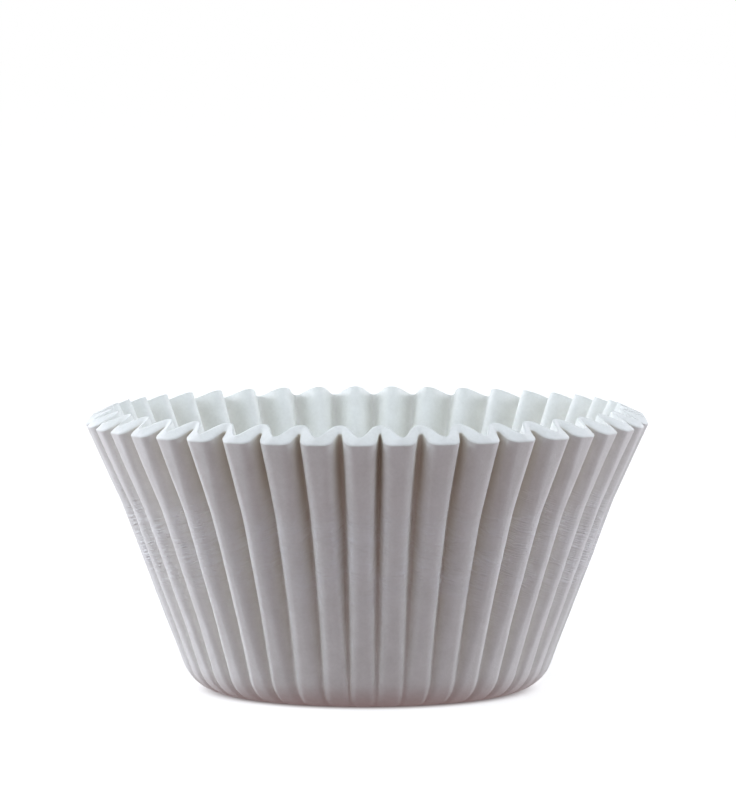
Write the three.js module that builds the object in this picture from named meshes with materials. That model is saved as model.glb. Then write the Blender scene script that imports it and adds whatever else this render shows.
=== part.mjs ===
import * as THREE from 'three';
import { LoftGeometry } from 'three/addons/geometries/LoftGeometry.js';
import { mergeGeometries, mergeVertices } from 'three/addons/utils/BufferGeometryUtils.js';

// Fluted paper baking cup for one large cupcake.
// One sheet pressed into a flat floor, a round corner and a flaring wall of
// upright pleats. Broad flat crests face outwards, narrow grooves lie between
// them. The grooves start at nothing on the floor's edge and are deepest at
// the open rim. Lengths are in millimetres, +Z is up, the floor rests on z = 0
// and the cup's axis is the Z axis.

// Outline of the outside, taken along the crests.
const FLOOR_RADIUS = 23.9;
const CORNER_RADIUS = 7;
const LOWER_LEAN_DEG = 20.8;
const UPPER_LEAN_DEG = 24.4;
const CREST_HEIGHT = 44;
const BEND_SHARE = 0.69;

// Wall between the middle of a crest's outer face and its inner face.
const WALL_THICKNESS = 1.2;

// Pleats. Depth is at the rim, arcs and steepness change from floor to rim.
const PLEAT_COUNT = 42;
const GROOVE_DEPTH = 3.5;
const GROOVE_DEPTH_POWER = 1.15;
const SHOULDER_RADIUS_AT_FLOOR = 0.75;
const SHOULDER_RADIUS_AT_RIM = 1.4;
const GROOVE_RADIUS = 0.45;
const FLANK_ANGLE_AT_FLOOR_DEG = 50;
const FLANK_ANGLE_AT_RIM_DEG = 82;
const FLANK_ANGLE_POWER = 0.35;

// Wave of the inner side. A power below one makes its folds broader than the
// hollows between them.
const INNER_FOLD_BREADTH_POWER = 0.65;

// Bearing of the middle of one crest.
const CREST_BEARING_DEG = -91.45;

// The inner side of the cut edge reaches this much further up the wall.
const EDGE_RISE_AT_CREST = 0.85;
const EDGE_RISE_AT_GROOVE = 1.1;

// Strips of facets along the wall, from the floor's edge to the rim.
const CORNER_STRIPS = 4;
const INNER_CORNER_STRIPS = 3;
const LOWER_WALL_STRIPS = 2;
const UPPER_WALL_STRIPS = 2;
const INNER_POINTS_PER_HALF_PLEAT = 4;

const lowerLean = THREE.MathUtils.degToRad(LOWER_LEAN_DEG);
const upperLean = THREE.MathUtils.degToRad(UPPER_LEAN_DEG);
const pleats = Math.round(PLEAT_COUNT);
const pitchAngle = 2 * Math.PI / pleats;
const crestBearing = THREE.MathUtils.degToRad(CREST_BEARING_DEG);
const flankAngleAtFloor = THREE.MathUtils.degToRad(FLANK_ANGLE_AT_FLOOR_DEG);
const flankAngleAtRim = THREE.MathUtils.degToRad(FLANK_ANGLE_AT_RIM_DEG);

// The outline is an arc followed by two straight lines.
const cornerAngle = Math.PI / 2 - lowerLean;
const cornerLength = CORNER_RADIUS * cornerAngle;
const cornerTopRadius = FLOOR_RADIUS + CORNER_RADIUS * Math.sin(cornerAngle);
const cornerTopHeight = CORNER_RADIUS * (1 - Math.cos(cornerAngle));
const bendHeight = cornerTopHeight + (CREST_HEIGHT - cornerTopHeight) * BEND_SHARE;
const lowerLength = (bendHeight - cornerTopHeight) / Math.cos(lowerLean);
const upperLength = (CREST_HEIGHT - bendHeight) / Math.cos(upperLean);
const bendAt = cornerLength + lowerLength;
const rimAt = bendAt + upperLength;

// Lean from the vertical of the wall, a right angle on the flat floor.
function leanAt(along) {
  if (along <= cornerLength) {
    return Math.PI / 2 - along / CORNER_RADIUS;
  }
  if (along === bendAt) {
    return (lowerLean + upperLean) / 2;
  }
  return along < bendAt ? lowerLean : upperLean;
}

// Point of the crest outline after a length of paper from the floor's edge.
function outlineAt(along) {
  if (along <= cornerLength) {
    const turned = along / CORNER_RADIUS;
    return new THREE.Vector2(
      FLOOR_RADIUS + CORNER_RADIUS * Math.sin(turned),
      CORNER_RADIUS * (1 - Math.cos(turned)),
    );
  }
  const onLower = Math.min(along, bendAt) - cornerLength;
  const onUpper = Math.max(along - bendAt, 0);
  return new THREE.Vector2(
    cornerTopRadius + onLower * Math.sin(lowerLean) + onUpper * Math.sin(upperLean),
    cornerTopHeight + onLower * Math.cos(lowerLean) + onUpper * Math.cos(upperLean),
  );
}

// Groove depth square to the outline: a quarter sine wave, softened at the floor.
function grooveDepthAt(along) {
  const rise = Math.sin(Math.PI / 2 * along / rimAt);
  return GROOVE_DEPTH * rise ** GROOVE_DEPTH_POWER;
}

// Half of one pleat's outer section, from the middle of the crest to the middle
// of the groove: x runs around the cup, y is how far it is sunk below the crest.
// A flat crest, a shoulder arc that turns by the flank's angle, a straight flank
// and a groove arc that turns back. In a shallow groove the two arcs meet with a
// smaller angle and there is no flank.
function outerHalfPleat(along) {
  const share = along / rimAt;
  const depth = grooveDepthAt(along);
  const shoulder = THREE.MathUtils.lerp(SHOULDER_RADIUS_AT_FLOOR, SHOULDER_RADIUS_AT_RIM, share);
  const steepest = THREE.MathUtils.lerp(
    flankAngleAtFloor,
    flankAngleAtRim,
    share ** FLANK_ANGLE_POWER,
  );
  const arcs = shoulder + GROOVE_RADIUS;
  const angle = Math.min(steepest, Math.acos(Math.max(1 - depth / arcs, -1)));
  const arcDrop = arcs * (1 - Math.cos(angle));
  const flank = depth > arcDrop ? (depth - arcDrop) / Math.sin(angle) : 0;
  const halfPitch = pitchAngle * outlineAt(along).x / 2;
  const flat = halfPitch - arcs * Math.sin(angle) - flank * Math.cos(angle);
  return [
    new THREE.Vector2(flat, 0),
    new THREE.Vector2(
      flat + shoulder * Math.sin(angle / 2),
      shoulder * (1 - Math.cos(angle / 2)),
    ),
    new THREE.Vector2(flat + shoulder * Math.sin(angle), shoulder * (1 - Math.cos(angle))),
    new THREE.Vector2(
      halfPitch - GROOVE_RADIUS * Math.sin(angle / 2),
      depth - GROOVE_RADIUS * (1 - Math.cos(angle / 2)),
    ),
  ];
}

// Half of one pleat's inner section: a half cosine wave one wall further in,
// raised to the power that broadens its folds.
function innerHalfPleat(along) {
  const depth = grooveDepthAt(along);
  const halfPitch = pitchAngle * outlineAt(along).x / 2;
  const half = [];
  for (let index = 0; index < INNER_POINTS_PER_HALF_PLEAT; index += 1) {
    const turn = (index + 0.5) / INNER_POINTS_PER_HALF_PLEAT;
    const wave = ((1 - Math.cos(Math.PI * turn)) / 2) ** INNER_FOLD_BREADTH_POWER;
    half.push(new THREE.Vector2(turn * halfPitch, WALL_THICKNESS + depth * wave));
  }
  return half;
}

// Closed ring of points all around the cup at one station of the outline, from
// a half pleat and its mirror image, repeated for every pleat. Each point is
// sunk square to the outline, and moved on along it by its rise.
function ringAt(along, halfPleat, riseAt) {
  const base = outlineAt(along);
  const lean = leanAt(along);
  const half = halfPleat(along);
  const mirrored = half.map((point) => new THREE.Vector2(-point.x, point.y)).reverse();
  const ring = [];
  for (let pleat = 0; pleat < pleats; pleat += 1) {
    const middle = crestBearing + pleat * pitchAngle;
    for (const point of [...mirrored, ...half]) {
      const rise = riseAt(point.y);
      const radius = base.x - point.y * Math.cos(lean) + rise * Math.sin(lean);
      const height = base.y + point.y * Math.sin(lean) + rise * Math.cos(lean);
      const bearing = middle + point.x / base.x;
      ring.push(new THREE.Vector3(
        radius * Math.cos(bearing),
        radius * Math.sin(bearing),
        height,
      ));
    }
  }
  return ring;
}

// Rise of the cut edge's inner side, by how far the point is sunk.
function edgeRiseAt(sunk) {
  const share = (sunk - WALL_THICKNESS) / GROOVE_DEPTH;
  return THREE.MathUtils.lerp(EDGE_RISE_AT_CREST, EDGE_RISE_AT_GROOVE, share);
}

// No rise anywhere but on the cut edge.
function noRise() {
  return 0;
}

// Stations along the outline, from the floor's edge to the rim.
function stationsFor(cornerStrips) {
  const stations = [0];
  for (let strip = 1; strip <= cornerStrips; strip += 1) {
    stations.push(cornerLength * strip / cornerStrips);
  }
  for (let strip = 1; strip < LOWER_WALL_STRIPS; strip += 1) {
    stations.push(cornerLength + lowerLength * strip / LOWER_WALL_STRIPS);
  }
  stations.push(bendAt);
  for (let strip = 1; strip < UPPER_WALL_STRIPS; strip += 1) {
    stations.push(bendAt + upperLength * strip / UPPER_WALL_STRIPS);
  }
  stations.push(rimAt);
  return stations;
}

// Skin of the sheet: up the outside, over the cut edge and down the inside.
const outerRings = stationsFor(CORNER_STRIPS).map(
  (along) => ringAt(along, outerHalfPleat, noRise),
);
const innerRings = stationsFor(INNER_CORNER_STRIPS)
  .reverse()
  .map((along) => ringAt(along, innerHalfPleat, along === rimAt ? edgeRiseAt : noRise));
const skin = new LoftGeometry([...outerRings, ...innerRings], { capStart: true });

// The upper face of the floor closes the inside.
const innerFloorRing = innerRings[innerRings.length - 1];
const innerFloorOutline = new THREE.Shape(
  innerFloorRing.map((point) => new THREE.Vector2(point.x, point.y)),
);
const innerFloor = new THREE.ShapeGeometry(innerFloorOutline);
innerFloor.translate(0, 0, innerFloorRing[0].z);

// Both surfaces are joined into one closed body.
const surfaces = [skin, innerFloor].map((surface) => {
  surface.deleteAttribute('normal');
  surface.deleteAttribute('uv');
  return surface;
});
const cupGeometry = mergeVertices(mergeGeometries(surfaces), 1e-4);
cupGeometry.computeVertexNormals();

const paper = new THREE.MeshStandardMaterial({
  color: '#f3f3f0',
  roughness: 0.88,
  metalness: 0,
  flatShading: true,
});

const paperCup = new THREE.Mesh(cupGeometry, paper);
paperCup.name = 'paper_cup';

const group = new THREE.Group();
group.name = 'cupcake_liner';
group.add(paperCup);

export default group;
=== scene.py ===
import math

import bpy
import numpy as np
from mathutils import Matrix, Vector


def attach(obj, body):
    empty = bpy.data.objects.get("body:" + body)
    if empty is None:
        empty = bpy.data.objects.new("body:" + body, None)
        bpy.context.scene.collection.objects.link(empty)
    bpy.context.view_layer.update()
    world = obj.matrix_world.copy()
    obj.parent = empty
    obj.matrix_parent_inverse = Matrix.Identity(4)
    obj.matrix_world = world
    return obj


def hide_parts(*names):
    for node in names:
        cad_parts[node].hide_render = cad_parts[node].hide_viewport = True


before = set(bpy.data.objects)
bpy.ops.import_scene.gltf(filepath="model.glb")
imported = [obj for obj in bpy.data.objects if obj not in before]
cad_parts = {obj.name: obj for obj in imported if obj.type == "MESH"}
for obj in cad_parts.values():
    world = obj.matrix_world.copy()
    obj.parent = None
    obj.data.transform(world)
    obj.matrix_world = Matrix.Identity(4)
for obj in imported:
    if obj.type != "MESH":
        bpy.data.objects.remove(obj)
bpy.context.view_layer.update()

MM = 0.001

# Outline of the cup's outside along its crests. Lengths are in millimetres, up
# to the mesh, which is in metres. The lean eases from lower to upper over a
# short length at the bend.
FLOOR_RADIUS = 23.9
CORNER_RADIUS = 7.0
LOWER_LEAN = math.radians(20.8)
UPPER_LEAN = math.radians(24.4)
CREST_HEIGHT = 44.0
BEND_SHARE = 0.69
BEND_EASE = 3.0
WALL = 1.2

# Pleats: depth at the rim, bearing of one crest's middle, and the rounding and
# steepness at four shares of the way from the floor's edge to the rim.
PLEATS = 42
GROOVE_DEPTH = 3.65
GROOVE_POWER = 1.05
CREST_BEARING = math.radians(-91.45)
SHARES = (0.0, 0.3, 0.7, 1.0)
SHOULDER_RADIUS = (1.2, 1.6, 2.05, 1.6)
FLANK_ANGLE = np.radians((48.0, 64.0, 69.0, 76.0))
GROOVE_RADIUS = 0.32

# Bevel on the left shoulder of each pleat: its slope, its width, the radius of
# its arcs as a share of a round shoulder's, how much steeper the flank below it
# is, and the groove depths between which it eases in.
BEVEL_ANGLE = math.radians(50.0)
BEVEL_WIDTH = 0.45
BEVEL_ROUNDING = 0.72
BEVEL_STEEPER = math.radians(3.0)
BEVEL_DEPTHS = (1.4, 2.3)

# Points on half a pleat: one on the flat crest, some down the shoulder, and four
# down the groove. Each of those four has the share of the groove arc's angle
# that is left below it, first beside a long flank and then beside a short one,
# and the share of the flank that is left. In grooves shallower than a given
# depth the points spread out evenly.
CREST_POINT = 0.55
SHOULDER_TURNS = (0.2, 0.4, 0.6, 0.8, 1.0)
GROOVE_STEPS = ((1.0, 0.75, 0.5), (1.0, 0.5, 0.0), (0.5, 0.25, 0.0), (0.0, 0.0, 0.0))
HALF_PLEAT = 2 + len(SHOULDER_TURNS) + len(GROOVE_STEPS)
SHORT_FLANK = 0.3
SHALLOW_GROOVE = 0.3

# Wave of the inner side: its depth as a share of the groove's, and how much
# broader its folds are, as a share of half a pleat.
WAVE_SHARE = 1.093
FOLD_BREADTH = 0.12

# Cut edge: how much further up the wall its inner side reaches, the length of
# wall over which that grows, its softness, and the length of wall just below it
# over which the surface turns.
EDGE_RISE = 0.82
EDGE_RISE_LENGTH = 3.0
EDGE_SOFTNESS = 0.08
EDGE_TURN = 0.12

# Rows of the mesh on each stretch of the sheet.
FLOOR_ROWS = 5
CORNER_ROWS = 12
WALL_ROWS = 44
EDGE_ROWS = 5
INNER_WALL_ROWS = 26
INNER_CORNER_ROWS = 8

# Pressed paper is a little uneven from pleat to pleat: spread of a crest's place
# as a share of the pitch, and of its groove depth as a share of that depth.
SEED = 20
PLEAT_DRIFT = 0.03
PLEAT_DEPTH_SPREAD = 0.07

# Waves left by handling. Broad ones grow from the floor over a length of wall,
# fine ones gather round the middle of the wall. Each has a height, a count
# round the cup and a length along the wall.
BROAD_HEIGHT = 0.07
BROAD_COUNT = 70
BROAD_LENGTH = 9.0
BROAD_GROWTH = 12.0
FINE_HEIGHT = 0.02
FINE_COUNT = 210
FINE_LENGTH = 1.1
FINE_MIDDLE = 27.0
FINE_SPREAD = 9.0
FINE_ELSEWHERE = 0.15
WAVE_OCTAVES = 2
INNER_WAVES = 0.6

# Paper map: the radius at which it has true length round the cup, and metres to
# one unit of it.
MAP_RADIUS = 38.0
MAP_UNIT = 0.1

# Heights in metres between which the wall's crinkles come in and fade out.
CRINKLES_START = (0.010, 0.024)
CRINKLES_END = (0.028, 0.040)

PITCH_ANGLE = 2 * math.pi / PLEATS
CORNER_ANGLE = math.pi / 2 - LOWER_LEAN
CORNER_LENGTH = CORNER_RADIUS * CORNER_ANGLE
CORNER_TOP_RADIUS = FLOOR_RADIUS + CORNER_RADIUS * math.sin(CORNER_ANGLE)
CORNER_TOP_HEIGHT = CORNER_RADIUS * (1 - math.cos(CORNER_ANGLE))
BEND_HEIGHT = CORNER_TOP_HEIGHT + (CREST_HEIGHT - CORNER_TOP_HEIGHT) * BEND_SHARE
LOWER_LENGTH = (BEND_HEIGHT - CORNER_TOP_HEIGHT) / math.cos(LOWER_LEAN)
UPPER_LENGTH = (CREST_HEIGHT - BEND_HEIGHT) / math.cos(UPPER_LEAN)
BEND_AT = CORNER_LENGTH + LOWER_LENGTH
RIM_AT = BEND_AT + UPPER_LENGTH

# The noise of the waves reaches a little past the rim.
NOISE_REACH = RIM_AT * 1.2


def lean_at(along):
    """Lean from the vertical: a right angle less the turned part of the corner
    arc, then the lower lean, easing straight to the upper lean at the bend."""
    on_corner = math.pi / 2 - np.minimum(along, CORNER_LENGTH) / CORNER_RADIUS
    past_bend = np.clip((along - BEND_AT) / BEND_EASE + 0.5, 0, 1)
    return on_corner + past_bend * (UPPER_LEAN - LOWER_LEAN)


def outline_at(along):
    """Radius and height of the crest line: an arc tangent to the floor, then a
    straight line at the lower lean, then a straight line at the upper lean."""
    turned = np.minimum(along, CORNER_LENGTH) / CORNER_RADIUS
    on_lower = np.clip(along - CORNER_LENGTH, 0, LOWER_LENGTH)
    on_upper = np.maximum(along - BEND_AT, 0)
    radius = FLOOR_RADIUS + CORNER_RADIUS * np.sin(turned)
    radius = radius + on_lower * math.sin(LOWER_LEAN) + on_upper * math.sin(UPPER_LEAN)
    height = CORNER_RADIUS * (1 - np.cos(turned))
    height = height + on_lower * math.cos(LOWER_LEAN) + on_upper * math.cos(UPPER_LEAN)
    return radius, height


def groove_depth_at(along):
    """Quarter sine wave of the length along the wall, raised to a power so that
    it starts softly on the floor's edge."""
    share = np.clip(along / RIM_AT, 0, 1)
    return GROOVE_DEPTH * np.sin(np.pi / 2 * share) ** GROOVE_POWER


def between(ends, share):
    """Straight mix of a pair of values."""
    return ends[0] + (ends[1] - ends[0]) * share


def finish_half_pleat(half_pitch, depth, angle, across, drop):
    """Half a pleat from the middle of the crest to the middle of the groove, as
    distance round the cup and height above the groove's floor: a flat crest, the
    given shoulder, a straight flank at the angle, and a groove arc that turns
    back by it. The flank takes up what the arcs leave of the depth, and the flat
    crest what the rest leaves of the half pitch. Where the flank is short, its
    points slide on to the groove arc, so that no points fall together."""
    steep = np.maximum(depth - drop[-1] - GROOVE_RADIUS * (1 - np.cos(angle)), 0)
    flank = steep / np.maximum(np.sin(angle), 1e-6)
    flat = half_pitch - across[-1] - flank * np.cos(angle) - GROOVE_RADIUS * np.sin(angle)
    x = [0 * flat, CREST_POINT * flat, flat, *(flat + across)]
    y = [depth, depth, depth, *(depth - drop)]
    long_flank = np.clip(flank / SHORT_FLANK, 0, 1)
    for turned, slid, above in GROOVE_STEPS:
        turn = angle * between((slid, turned), long_flank)
        rise = flank * above * long_flank
        x.append(half_pitch - GROOVE_RADIUS * np.sin(turn) - rise * np.cos(angle))
        y.append(GROOVE_RADIUS * (1 - np.cos(turn)) + rise * np.sin(angle))
    return np.stack(x, -1), np.stack(y, -1)


def round_half_pleat(half_pitch, depth, share):
    """Half a pleat with a round shoulder: an arc that turns by the flank's angle.
    Where the groove is too shallow for that angle, the shoulder arc and the
    groove arc meet with a smaller one and there is no flank."""
    shoulder = np.interp(share, SHARES, SHOULDER_RADIUS)
    meeting = np.arccos(np.clip(1 - depth / (shoulder + GROOVE_RADIUS), -1, 1))
    angle = np.minimum(np.interp(share, SHARES, FLANK_ANGLE), meeting)
    turned = angle * np.array(SHOULDER_TURNS)[:, None]
    across = shoulder * np.sin(turned)
    drop = shoulder * (1 - np.cos(turned))
    return finish_half_pleat(half_pitch, depth, angle, across, drop)


def bevelled_half_pleat(half_pitch, depth, share):
    """Half a pleat with a bevelled shoulder: an arc that turns by the bevel's
    angle, a straight slope, and an arc that turns on by the rest of the flank's
    angle. It eases in from the round form, by a cubic, between two depths."""
    radius = np.interp(share, SHARES, SHOULDER_RADIUS) * BEVEL_ROUNDING
    angle = np.interp(share, SHARES, FLANK_ANGLE) + BEVEL_STEEPER
    turned = np.array(np.broadcast_arrays(
        BEVEL_ANGLE / 2, BEVEL_ANGLE, BEVEL_ANGLE, (BEVEL_ANGLE + angle) / 2, angle
    ))
    slope = np.array([0, 0, 1, 1, 1])[:, None] * BEVEL_WIDTH
    across = radius * np.sin(turned) + slope
    drop = radius * (1 - np.cos(turned)) + slope * math.tan(BEVEL_ANGLE)
    rounded = round_half_pleat(half_pitch, depth, share)
    bevelled = finish_half_pleat(half_pitch, depth, angle, across, drop)
    ease = np.clip((depth - BEVEL_DEPTHS[0]) / (BEVEL_DEPTHS[1] - BEVEL_DEPTHS[0]), 0, 1)
    ease = (ease * ease * (3 - 2 * ease))[:, None]
    return [between(forms, ease) for forms in zip(rounded, bevelled)]


def smooth_noise(rng, around, along, cells, length):
    """Periodic value noise on the wall: random numbers on a grid of so many
    cells round the cup and one cell per given length along it, eased between
    neighbours by a cubic, each octave half as large and half as high. The grid
    has a few rows to spare."""
    total = np.zeros(np.broadcast(around, along).shape)
    for octave in range(WAVE_OCTAVES):
        columns = cells * 2 ** octave
        rows = int(NOISE_REACH / length * 2 ** octave) + 3
        grid = rng.uniform(-1, 1, (rows, columns))
        x = np.mod(around / (2 * np.pi), 1) * columns
        y = np.clip(along / length * 2 ** octave, 0, rows - 2)
        x0 = np.floor(x).astype(int)
        y0 = np.floor(y).astype(int)
        fx = x - x0
        fy = y - y0
        fx = fx * fx * (3 - 2 * fx)
        fy = fy * fy * (3 - 2 * fy)
        x0 = x0 % columns
        x1 = (x0 + 1) % columns
        y1 = np.minimum(y0 + 1, rows - 1)
        low = grid[y0, x0] * (1 - fx) + grid[y0, x1] * fx
        high = grid[y1, x0] * (1 - fx) + grid[y1, x1] * fx
        total = total + (low * (1 - fy) + high * fy) / 2 ** octave
    return total


def pleat_shifts(rng, along):
    """Sideways shift in radians and depth factor of each pleat along the wall: a
    straight mix of one random value at the floor and one at the rim."""
    share = (along / RIM_AT)[:, None]
    drift = rng.normal(0, PLEAT_DRIFT * PITCH_ANGLE, (2, PLEATS))
    spread = rng.normal(0, PLEAT_DEPTH_SPREAD, (2, PLEATS))
    return between(drift, share), 1 + between(spread, share)


def place(along, bearing, sunk, rise):
    """Points of the wall: the crest outline, moved inwards square to it by the
    sunk distance and onwards along it by the rise."""
    radius, height = outline_at(along)
    lean = lean_at(along)
    radius = radius[:, None] - sunk * np.cos(lean)[:, None] + rise * np.sin(lean)[:, None]
    height = height[:, None] + sunk * np.sin(lean)[:, None] + rise * np.cos(lean)[:, None]
    return np.stack([radius * np.cos(bearing), radius * np.sin(bearing), height], -1)


def waves_at(bearing, along):
    """Shallow waves left by handling, square to the paper: broad noise times a
    straight growth from the floor, and fine noise times a bell curve round the
    wall's middle, with a little left elsewhere."""
    rng = np.random.default_rng(SEED + 1)
    middle = np.exp(-((along - FINE_MIDDLE) / FINE_SPREAD) ** 2)
    broad = smooth_noise(rng, bearing, along, BROAD_COUNT, BROAD_LENGTH)
    fine = smooth_noise(rng, bearing, along, FINE_COUNT, FINE_LENGTH)
    grown = np.clip(along / BROAD_GROWTH, 0, 1)
    return BROAD_HEIGHT * broad * grown + FINE_HEIGHT * fine * (FINE_ELSEWHERE + middle)


def pleat_columns():
    """For every column of points round the cup: its pleat, which half-pleat
    point it is, and the side of the crest that it lies on."""
    step = np.arange(PLEATS * 2 * HALF_PLEAT)
    pleat = step // (2 * HALF_PLEAT)
    inside = step % (2 * HALF_PLEAT) - HALF_PLEAT
    return pleat, np.abs(inside), np.sign(inside)


def outer_wall(along):
    """Outside of the wall for an array of lengths along it, as points and as how
    far each is sunk below the crest line. Every pleat is a bevelled half and a
    round half. A crest moves sideways by its pleat's shift, which fades to
    nothing by the fourth power of the way to the groove's middle. The factor on
    the depth fades by the eighth power to the mean of the two pleats there."""
    rng = np.random.default_rng(SEED)
    pleat, half, side = pleat_columns()
    radius, _ = outline_at(along)
    depth = groove_depth_at(along)
    half_pitch = PITCH_ANGLE * radius / 2
    left = bevelled_half_pleat(half_pitch, depth, along / RIM_AT)
    right = round_half_pleat(half_pitch, depth, along / RIM_AT)
    x, y = (np.where(side < 0, a[:, half], b[:, half]) for a, b in zip(left, right))
    even = half / HALF_PLEAT * half_pitch[:, None]
    x = between((even, x), np.clip(depth / SHALLOW_GROOVE, 0, 1)[:, None])
    shift, deeper = pleat_shifts(rng, along)
    middle = CREST_BEARING + pleat * PITCH_ANGLE
    towards = (x / half_pitch[:, None]) ** 4
    bearing = middle + side * x / radius[:, None] + shift[:, pleat] * (1 - towards)
    beside = (pleat + np.where(side < 0, -1, 1)) % PLEATS
    shared = deeper[:, pleat] + (deeper[:, beside] - deeper[:, pleat]) / 2 * towards ** 2
    sunk = (depth[:, None] - y) * shared
    sunk = sunk - waves_at(bearing, along[:, None])
    return place(along, bearing, sunk, 0.0), sunk


def inner_wall(along, rise_share):
    """Inside of the wall: one cosine wave per pleat, one wall further in and a
    little deeper than the groove, which thickens the folds. The breadth, a share
    of half a pleat, moves the wave's middle towards the crest, so the folds are
    broader than the hollows."""
    pleat, half, side = pleat_columns()
    depth = groove_depth_at(along)[:, None]
    turn = side * half / HALF_PLEAT
    bearing = CREST_BEARING + (pleat + turn / 2) * PITCH_ANGLE
    wave = (1 - np.cos(np.pi * (turn + FOLD_BREADTH * np.sin(np.pi * turn)))) / 2
    sunk = WALL + WAVE_SHARE * depth * wave - INNER_WAVES * waves_at(bearing, along[:, None])
    return place(along, bearing, sunk, rise_share * EDGE_RISE)


def cut_edge(outer, inner):
    """Rows over the cut edge: a straight mix of its outer and inner line, lifted
    by the square root of a half sine wave, so that the edge is softly rounded."""
    share = np.linspace(0, 1, EDGE_ROWS + 2)[1:-1, None, None]
    lift = EDGE_SOFTNESS * np.sin(np.pi * share) ** 0.5
    return outer * (1 - share) + inner * share + lift * np.array([0.0, 0.0, 1.0])


def disc(ring, rows):
    """Rows of a flat disc: its rim ring drawn in towards the axis, evenly."""
    share = np.linspace(1, 0, rows + 1)[:-1, None, None]
    return ring * np.concatenate([share, share, np.ones_like(share)], -1)


def grid_mesh(name, rows, first_pole, last_pole):
    """Closed mesh from rings of equal length: quads between neighbouring rings,
    and a fan of triangles from each end ring to its point on the axis."""
    count, columns, _ = rows.shape
    points = np.concatenate([rows.reshape(-1, 3), [first_pole, last_pole]]) * MM
    here = np.arange(columns)
    there = (here + 1) % columns
    base = (np.arange(count - 1) * columns)[:, None]
    quads = np.stack(
        [base + here, base + there, base + columns + there, base + columns + here], -1
    ).reshape(-1, 4)
    low, high = count * columns, count * columns + 1
    top = (count - 1) * columns
    fans = np.concatenate([
        np.stack([there, here, np.full(columns, low)], -1),
        np.stack([top + here, top + there, np.full(columns, high)], -1),
    ])
    mesh = bpy.data.meshes.new(name)
    mesh.from_pydata(points, [], quads.tolist() + fans.tolist())
    mesh.polygons.foreach_set("use_smooth", np.ones(len(mesh.polygons), bool))
    mesh.update()
    return mesh


def sheet_lengths(rows):
    """Length in metres along the sheet from its first ring to each ring, by the
    mean distance between neighbouring rings."""
    gap = np.linalg.norm(np.diff(rows, axis=0), axis=-1).mean(1)
    return np.concatenate([[0], np.cumsum(gap)]) * MM


def add_sheet_map(mesh, rows):
    """UV map in decimetres of paper: U runs round the cup, true at one radius,
    and V along the sheet from the underside's middle over the rim to the inner
    floor's middle. It follows the order of faces in grid_mesh."""
    count, columns, _ = rows.shape
    row, column = np.mgrid[:count - 1, :columns]
    here = np.arange(columns)
    loop_column = np.concatenate([
        np.stack([column, column + 1, column + 1, column], -1).ravel(),
        np.stack([here + 1, here, here + 0.5], -1).ravel(),
        np.stack([here, here + 1, here + 0.5], -1).ravel(),
    ])
    loop_row = np.concatenate([
        np.stack([row, row, row + 1, row + 1], -1).ravel(),
        np.full(3 * columns, 0),
        np.full(3 * columns, count - 1),
    ])
    round_cup = 2 * math.pi * MAP_RADIUS * MM / MAP_UNIT
    along = sheet_lengths(rows) / MAP_UNIT
    uv = np.stack([loop_column / columns * round_cup, along[loop_row]], -1)
    layer = mesh.uv_layers.new(name="sheet")
    layer.data.foreach_set("uv", uv.ravel())


def add_groove_share(mesh, sunk, first_row):
    """Point attribute: how far the outside is sunk below the crests, as a share
    of the deepest groove, and 0 on all other rows."""
    share = np.zeros(len(mesh.vertices))
    start = first_row * sunk.shape[1]
    share[start:start + sunk.size] = np.clip(sunk / GROOVE_DEPTH, 0, 1).ravel()
    layer = mesh.attributes.new("groove", "FLOAT", "POINT")
    layer.data.foreach_set("value", share)


def make_cup():
    """The whole sheet: underside, corner, pleated outside, cut edge, pleated
    inside, inner corner and the floor's upper face."""
    corner = np.linspace(0, CORNER_LENGTH, CORNER_ROWS + 1)
    wall = np.linspace(CORNER_LENGTH, RIM_AT - EDGE_TURN, WALL_ROWS + 1)[1:]
    outer_along = np.concatenate([corner, wall, [RIM_AT]])
    outer, sunk = outer_wall(outer_along)
    outer[0, :, 2] = 0.0
    inner_along = np.concatenate([
        np.linspace(0, CORNER_LENGTH, INNER_CORNER_ROWS + 1),
        np.linspace(CORNER_LENGTH, RIM_AT - EDGE_TURN, INNER_WALL_ROWS + 1)[1:],
        [RIM_AT],
    ])
    rise_share = np.clip((inner_along - RIM_AT) / EDGE_RISE_LENGTH + 1, 0, 1)[:, None]
    inner = inner_wall(inner_along, rise_share)
    inner[0, :, 2] = WALL
    edge = cut_edge(outer[-1], inner[-1])
    underside = disc(outer[0], FLOOR_ROWS)[::-1]
    upper_face = disc(inner[0], FLOOR_ROWS)
    rows = np.concatenate([underside, outer[1:], edge, inner[:0:-1], upper_face])
    mesh = grid_mesh("paper_liner", rows, (0, 0, 0), (0, 0, WALL))
    add_sheet_map(mesh, rows)
    add_groove_share(mesh, sunk[1:], FLOOR_ROWS)
    cup = bpy.data.objects.new("paper_liner", mesh)
    bpy.context.scene.collection.objects.link(cup)
    return cup


def srgb(code):
    """Linear colour from an sRGB hex code."""
    parts = [int(code[i:i + 2], 16) / 255 for i in (1, 3, 5)]
    linear = [p / 12.92 if p <= 0.04045 else ((p + 0.055) / 1.055) ** 2.4 for p in parts]
    return (*linear, 1.0)


def node(tree, kind, settings=None, links=None):
    """Adds a node, sets its properties and sockets, and links its inputs."""
    made = tree.nodes.new(kind)
    for key, value in (settings or {}).items():
        if isinstance(key, str) and hasattr(made, key):
            setattr(made, key, value)
        else:
            made.inputs[key].default_value = value
    for key, source in (links or {}).items():
        tree.links.new(source, made.inputs[key])
    return made


def new_material(name):
    """Empty node material."""
    made = bpy.data.materials.new(name)
    made.use_nodes = True
    made.node_tree.nodes.clear()
    return made


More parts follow.
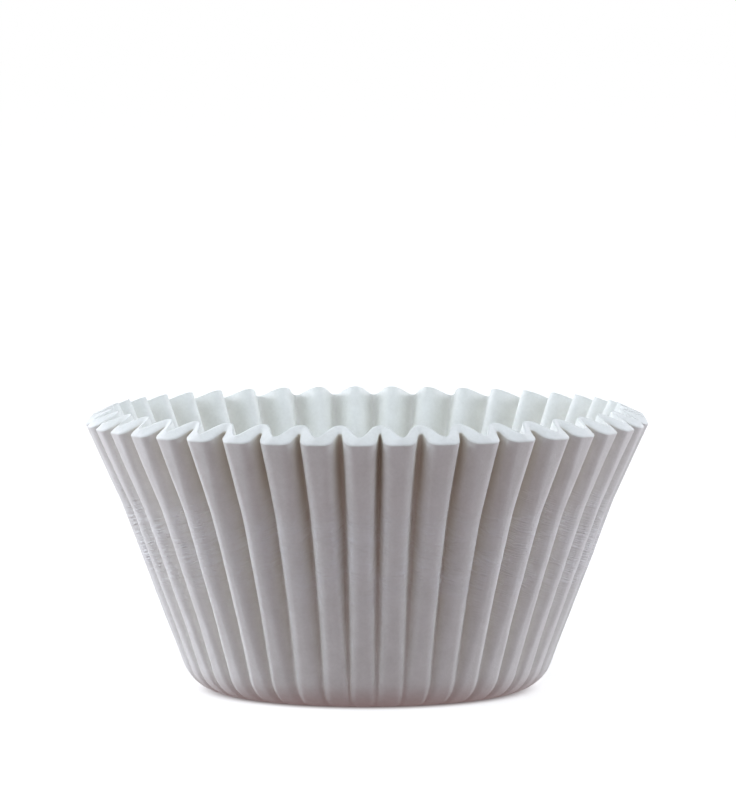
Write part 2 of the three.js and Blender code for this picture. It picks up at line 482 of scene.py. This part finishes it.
def paper_fibre_and_groove_shade(tree, solid, sunk):
    """Colour of the paper: clouds of fibre about 3 mm across with flecks of
    0.5 mm, and painted shade in the grooves: the paper is painted darker and creamier the further
                                              it is sunk."""
    clouds = node(tree, "ShaderNodeTexNoise", {"Scale": 330.0, "Detail": 3.0}, {"Vector": solid})
    flecks = node(tree, "ShaderNodeTexNoise", {"Scale": 2000.0, "Detail": 2.0}, {"Vector": solid})
    both = node(
        tree, "ShaderNodeMix", {"data_type": "FLOAT", "Factor": 0.4},
        {"A": clouds.outputs["Fac"], "B": flecks.outputs["Fac"]},
    )
    fibre = node(tree, "ShaderNodeValToRGB", {}, {"Fac": both.outputs["Result"]})
    fibre.color_ramp.elements[0].position = 0.3
    fibre.color_ramp.elements[0].color = srgb("#edece5")
    fibre.color_ramp.elements[1].position = 0.7
    fibre.color_ramp.elements[1].color = srgb("#f9f8f2")
    # Painted shade in the grooves: the colour turns darker and creamier by how far the outside is
    # sunk below the crests.
    groove_shade = node(
        tree, "ShaderNodeMapRange",
        {"interpolation_type": "SMOOTHSTEP", "From Min": 0.2, "From Max": 1.0},
        {"Value": sunk},
    )
    paper = node(
        tree, "ShaderNodeMixRGB", {"Color2": srgb("#e3ddd0")},
        {"Fac": groove_shade.outputs["Result"], "Color1": fibre.outputs["Color"]},
    )
    return paper.outputs["Color"]


def crease_lines(tree, solid, sheet):
    """Height of the creases anywhere on the sheet: a quarter of the thin ridges
    of one noise, added to the hairlines of another."""
    # Ridges, drawn where a noise of 6 mm round the cup by 2 mm along the wall
    # crosses its middle value.
    wide = node(tree, "ShaderNodeMapping", {"Scale": (16.0, 50.0, 1.0)}, {"Vector": sheet})
    folds = node(
        tree, "ShaderNodeTexNoise",
        {"Scale": 1.0, "Detail": 3.0, "Roughness": 0.6, "Distortion": 0.6},
        {"Vector": wide.outputs["Vector"]},
    )
    centred = node(
        tree, "ShaderNodeMath", {"operation": "SUBTRACT", 1: 0.5}, {0: folds.outputs["Fac"]}
    )
    folded = node(tree, "ShaderNodeMath", {"operation": "ABSOLUTE"}, {0: centred.outputs["Value"]})
    ridges = node(
        tree, "ShaderNodeMapRange",
        {"From Min": 0.0, "From Max": 0.05, "To Min": 1.0, "To Max": 0.0},
        {"Value": folded.outputs["Value"]},
    )

    # Hairlines round the cup, 1.4 mm by 0.3 mm, gathered in clusters of 6 mm.
    narrow = node(tree, "ShaderNodeMapping", {"Scale": (70.0, 330.0, 1.0)}, {"Vector": sheet})
    hairs = node(
        tree, "ShaderNodeTexNoise", {"Scale": 1.0, "Detail": 2.0},
        {"Vector": narrow.outputs["Vector"]},
    )
    clusters = node(
        tree, "ShaderNodeTexNoise", {"Scale": 160.0, "Detail": 1.0}, {"Vector": solid}
    )
    gathered = node(
        tree, "ShaderNodeMapRange",
        {"interpolation_type": "SMOOTHSTEP", "From Min": 0.42, "From Max": 0.62, "To Min": 0.25},
        {"Value": clusters.outputs["Fac"]},
    )
    hairlines = node(
        tree, "ShaderNodeMath", {"operation": "MULTIPLY"},
        {0: hairs.outputs["Fac"], 1: gathered.outputs["Result"]},
    )
    creased = node(
        tree, "ShaderNodeMath", {"operation": "MULTIPLY_ADD", 1: 0.25},
        {0: ridges.outputs["Result"], 2: hairlines.outputs["Value"]},
    )
    return creased.outputs["Value"]


def creased_part(tree, solid, sunk):
    """Where the wall is crinkled, from 0 to 1: between two heights, and more
    beside the crests' flat tops, where the paper bends, than on them."""
    place_on_cup = node(tree, "ShaderNodeSeparateXYZ", {}, {"Vector": solid})
    rising = node(
        tree, "ShaderNodeMapRange",
        {"interpolation_type": "SMOOTHSTEP",
         "From Min": CRINKLES_START[0], "From Max": CRINKLES_START[1]},
        {"Value": place_on_cup.outputs["Z"]},
    )
    falling = node(
        tree, "ShaderNodeMapRange",
        {"interpolation_type": "SMOOTHSTEP",
         "From Min": CRINKLES_END[0], "From Max": CRINKLES_END[1],
         "To Min": 1.0, "To Max": 0.0},
        {"Value": place_on_cup.outputs["Z"]},
    )
    band = node(
        tree, "ShaderNodeMath", {"operation": "MULTIPLY"},
        {0: rising.outputs["Result"], 1: falling.outputs["Result"]},
    )
    bends = node(
        tree, "ShaderNodeMapRange",
        {"interpolation_type": "SMOOTHSTEP", "From Max": 0.12, "To Min": 0.45},
        {"Value": sunk},
    )
    part = node(
        tree, "ShaderNodeMath", {"operation": "MULTIPLY"},
        {0: bends.outputs["Result"], 1: band.outputs["Value"]},
    )
    return part.outputs["Value"]


def greaseproof_paper():
    """Bleached greaseproof paper, hot-pressed into pleats. Gives the eye a dense
    matt white with faint clouds of fibre, a very fine tooth, and hair-thin
    crinkles across the middle of the wall with painted highlights along them, and painted shade
    down in the grooves."""
    material = new_material("greaseproof_paper_pressed")
    tree = material.node_tree
    coordinates = node(tree, "ShaderNodeTexCoord")
    sheet = coordinates.outputs["UV"]
    solid = coordinates.outputs["Object"]
    groove = node(tree, "ShaderNodeAttribute", {"attribute_name": "groove"})
    sunk = groove.outputs["Fac"]
    fibre_and_groove_shade = paper_fibre_and_groove_shade(tree, solid, sunk)
    crinkles = node(
        tree, "ShaderNodeMath", {"operation": "MULTIPLY"},
        {0: crease_lines(tree, solid, sheet), 1: creased_part(tree, solid, sunk)},
    )

    # Painted highlight: the paper is painted whiter along the crinkles, where they catch the
    # light.
    crinkle_highlight = node(
        tree, "ShaderNodeMixRGB", {"Color2": srgb("#fffffd")},
        {"Fac": crinkles.outputs["Value"], "Color1": fibre_and_groove_shade},
    )

    # Tooth of the paper: 0.35 mm grain, drawn coarser than real fibre to show.
    tooth = node(tree, "ShaderNodeTexNoise", {"Scale": 2800.0, "Detail": 3.0}, {"Vector": solid})
    tooth_bump = node(
        tree, "ShaderNodeBump", {"Strength": 0.4, "Distance": 0.0001},
        {"Height": tooth.outputs["Fac"]},
    )
    crinkle_bump = node(
        tree, "ShaderNodeBump", {"Strength": 0.8, "Distance": 0.0003},
        {"Height": crinkles.outputs["Value"], "Normal": tooth_bump.outputs["Normal"]},
    )
    shader = node(
        tree, "ShaderNodeBsdfPrincipled",
        {"Roughness": 0.72, "IOR": 1.46, "Specular IOR Level": 0.35},
        {"Base Color": crinkle_highlight.outputs["Color"], "Normal": crinkle_bump.outputs["Normal"]},
    )
    node(tree, "ShaderNodeOutputMaterial", {}, {"Surface": shader.outputs["BSDF"]})
    return material


def seen_only(tree):
    """1 for rays that show a surface to the eye: straight, mirrored or passed on."""
    path = node(tree, "ShaderNodeLightPath")
    straight = node(
        tree, "ShaderNodeMath", {"operation": "MAXIMUM"},
        {0: path.outputs["Is Camera Ray"], 1: path.outputs["Is Glossy Ray"]},
    )
    return node(
        tree, "ShaderNodeMath", {"operation": "MAXIMUM"},
        {0: straight.outputs["Value"], 1: path.outputs["Is Transmission Ray"]},
    )


def studio_floor():
    """Painted studio board. To the eye it is white, with the cup's shadow kept
    close to the cup and deepened there by painted shade: its glow is dimmer near the cup and off
    right at its foot.
    It runs out to even white further away. To the cup it is a dim warm glow from below, as a board
    throws light back."""
    material = new_material("painted_board_white")
    tree = material.node_tree
    seen = seen_only(tree)
    spot = node(tree, "ShaderNodeTexCoord")
    away = node(tree, "ShaderNodeVectorMath", {"operation": "LENGTH"}, {0: spot.outputs["Object"]})

    # The board's glow is painted light: it grows away from the cup, leaving painted shade round
    # the cup, and is off at the cup's foot as a painted contact shadow.
    white = node(
        tree, "ShaderNodeMapRange",
        {"interpolation_type": "SMOOTHSTEP", "From Min": 0.03, "From Max": 0.25,
         "To Min": 0.72, "To Max": 1.0},
        {"Value": away.outputs["Value"]},
    )
    clear = node(
        tree, "ShaderNodeMapRange",
        {"interpolation_type": "SMOOTHSTEP", "From Min": 0.0235, "From Max": 0.029},
        {"Value": away.outputs["Value"]},
    )
    strength = node(
        tree, "ShaderNodeMath", {"operation": "MULTIPLY"},
        {0: white.outputs["Result"], 1: clear.outputs["Result"]},
    )
    glow = node(tree, "ShaderNodeEmission", {}, {"Strength": strength.outputs["Value"]})
    shadowed = node(tree, "ShaderNodeBsdfDiffuse", {"Color": srgb("#c4c3c2")})
    bright = node(
        tree, "ShaderNodeAddShader", {},
        {0: shadowed.outputs["BSDF"], 1: glow.outputs["Emission"]},
    )
    dim = node(tree, "ShaderNodeEmission", {"Color": srgb("#816b6e"), "Strength": 0.993})
    mixed = node(
        tree, "ShaderNodeMixShader", {},
        {0: seen.outputs["Value"], 1: dim.outputs["Emission"], 2: bright.outputs["Shader"]},
    )
    node(tree, "ShaderNodeOutputMaterial", {}, {"Surface": mixed.outputs["Shader"]})

    # It lies a hair below the cup, so that it isn't in the plane of the underside.
    board_size = 12.0
    hair = 0.00002
    bpy.ops.mesh.primitive_plane_add(size=board_size, location=(0, 0, -hair))
    floor = bpy.context.object
    floor.name = "studio_floor"
    floor.data.materials.append(material)


def studio_world():
    """Even white where the eye looks past the floor. To all other rays it is
    dark, so that the lamps alone light the cup."""
    world = bpy.data.worlds.new("studio")
    bpy.context.scene.world = world
    world.use_nodes = True
    tree = world.node_tree
    tree.nodes.clear()
    seen = seen_only(tree)
    dark = node(tree, "ShaderNodeBackground", {"Strength": 0.0})
    white = node(tree, "ShaderNodeBackground", {"Color": (1, 1, 1, 1), "Strength": 1.0})
    mixed = node(
        tree, "ShaderNodeMixShader", {},
        {0: seen.outputs["Value"], 1: dark.outputs["Background"], 2: white.outputs["Background"]},
    )
    node(tree, "ShaderNodeOutputWorld", {}, {"Surface": mixed.outputs["Shader"]})


def soft_lamp(name, position, target, size, power, colour):
    """Square softbox aimed at a point."""
    data = bpy.data.lights.new(name, "AREA")
    data.shape = "SQUARE"
    data.size = size
    data.energy = power
    data.color = srgb(colour)[:3]
    lamp = bpy.data.objects.new(name, data)
    lamp.location = position
    aim = Vector(target) - Vector(position)
    lamp.rotation_euler = aim.to_track_quat("-Z", "Y").to_euler()
    bpy.context.scene.collection.objects.link(lamp)


def studio_lamps():
    """Cool softboxes round the middle of the cup. Two large ones on each side
    shape the pleats, a small low one behind each side catches their corners,
    and two above light the cut edge and the inside, which the overhanging wall
    turns its face from. Each has a bearing from the front and a height, both in
    degrees, a size in metres, a power in watts and a colour."""
    lamps = {
        "lamp_left": (-75, 25, 0.7, 3.4, "#e9f3ff"),
        "lamp_front_left": (-45, 25, 0.7, 1.4, "#d9edfb"),
        "lamp_front_right": (45, 25, 0.7, 1.15, "#d9ebfb"),
        "lamp_right": (75, 25, 0.7, 2.8, "#e8f3ff"),
        "lamp_back_left": (-113, 9, 0.25, 3.3, "#edf0ff"),
        "lamp_back_right": (112, 9, 0.25, 2.0, "#edf0ff"),
        "lamp_high": (0, 89, 0.7, 1.65, "#eef2ff"),
        "lamp_above": (0, 76, 0.3, 1.0, "#f1f4ff"),
    }
    middle = Vector((0, 0, 0.03))
    distance = 0.8
    for name, (bearing, height, size, power, colour) in lamps.items():
        turn = math.radians(bearing)
        climb = math.radians(height)
        level = distance * math.cos(climb)
        away = Vector((
            level * math.sin(turn), -level * math.cos(turn), distance * math.sin(climb)
        ))
        soft_lamp(name, middle + away, middle, size, power, colour)


def studio_camera():
    """Long lens, a little above the cup and tipped up so that the cup sits low in
    the frame. The lens is the focal length in pixels over the frame's long side,
    and the axis pixel is where the point that the camera circles is seen."""
    focal_pixels = 5671.0
    sensor = 36.0
    frame_width, frame_height = 736, 791
    distance = 0.937
    elevation = math.radians(5.93)
    aim_height = 0.022
    axis_pixel = (367.0, 555.2)
    roll = math.radians(-0.11)
    data = bpy.data.cameras.new("camera")
    data.sensor_width = sensor
    data.lens = focal_pixels * sensor / frame_height
    data.clip_start = 0.05
    data.clip_end = 20.0
    camera = bpy.data.objects.new("camera", data)
    bpy.context.scene.collection.objects.link(camera)
    camera.location = (
        0.0, -distance * math.cos(elevation), aim_height + distance * math.sin(elevation)
    )
    tip_up = math.atan((axis_pixel[1] - frame_height / 2) / focal_pixels)
    turn = math.atan((axis_pixel[0] - frame_width / 2) / focal_pixels)
    pitch = Matrix.Rotation(math.pi / 2 - elevation + tip_up, 4, "X")
    yaw = Matrix.Rotation(turn, 4, "Z")
    spin = Matrix.Rotation(roll, 4, "Z")
    camera.rotation_euler = (yaw @ pitch @ spin).to_euler()
    bpy.context.scene.camera = camera


studio_camera()
cup = make_cup()
cup.data.materials.append(greaseproof_paper())
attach(cup, "root")
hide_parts("paper_cup")
studio_floor()
studio_world()
studio_lamps()
bpy.context.scene.view_settings.view_transform = "Standard"
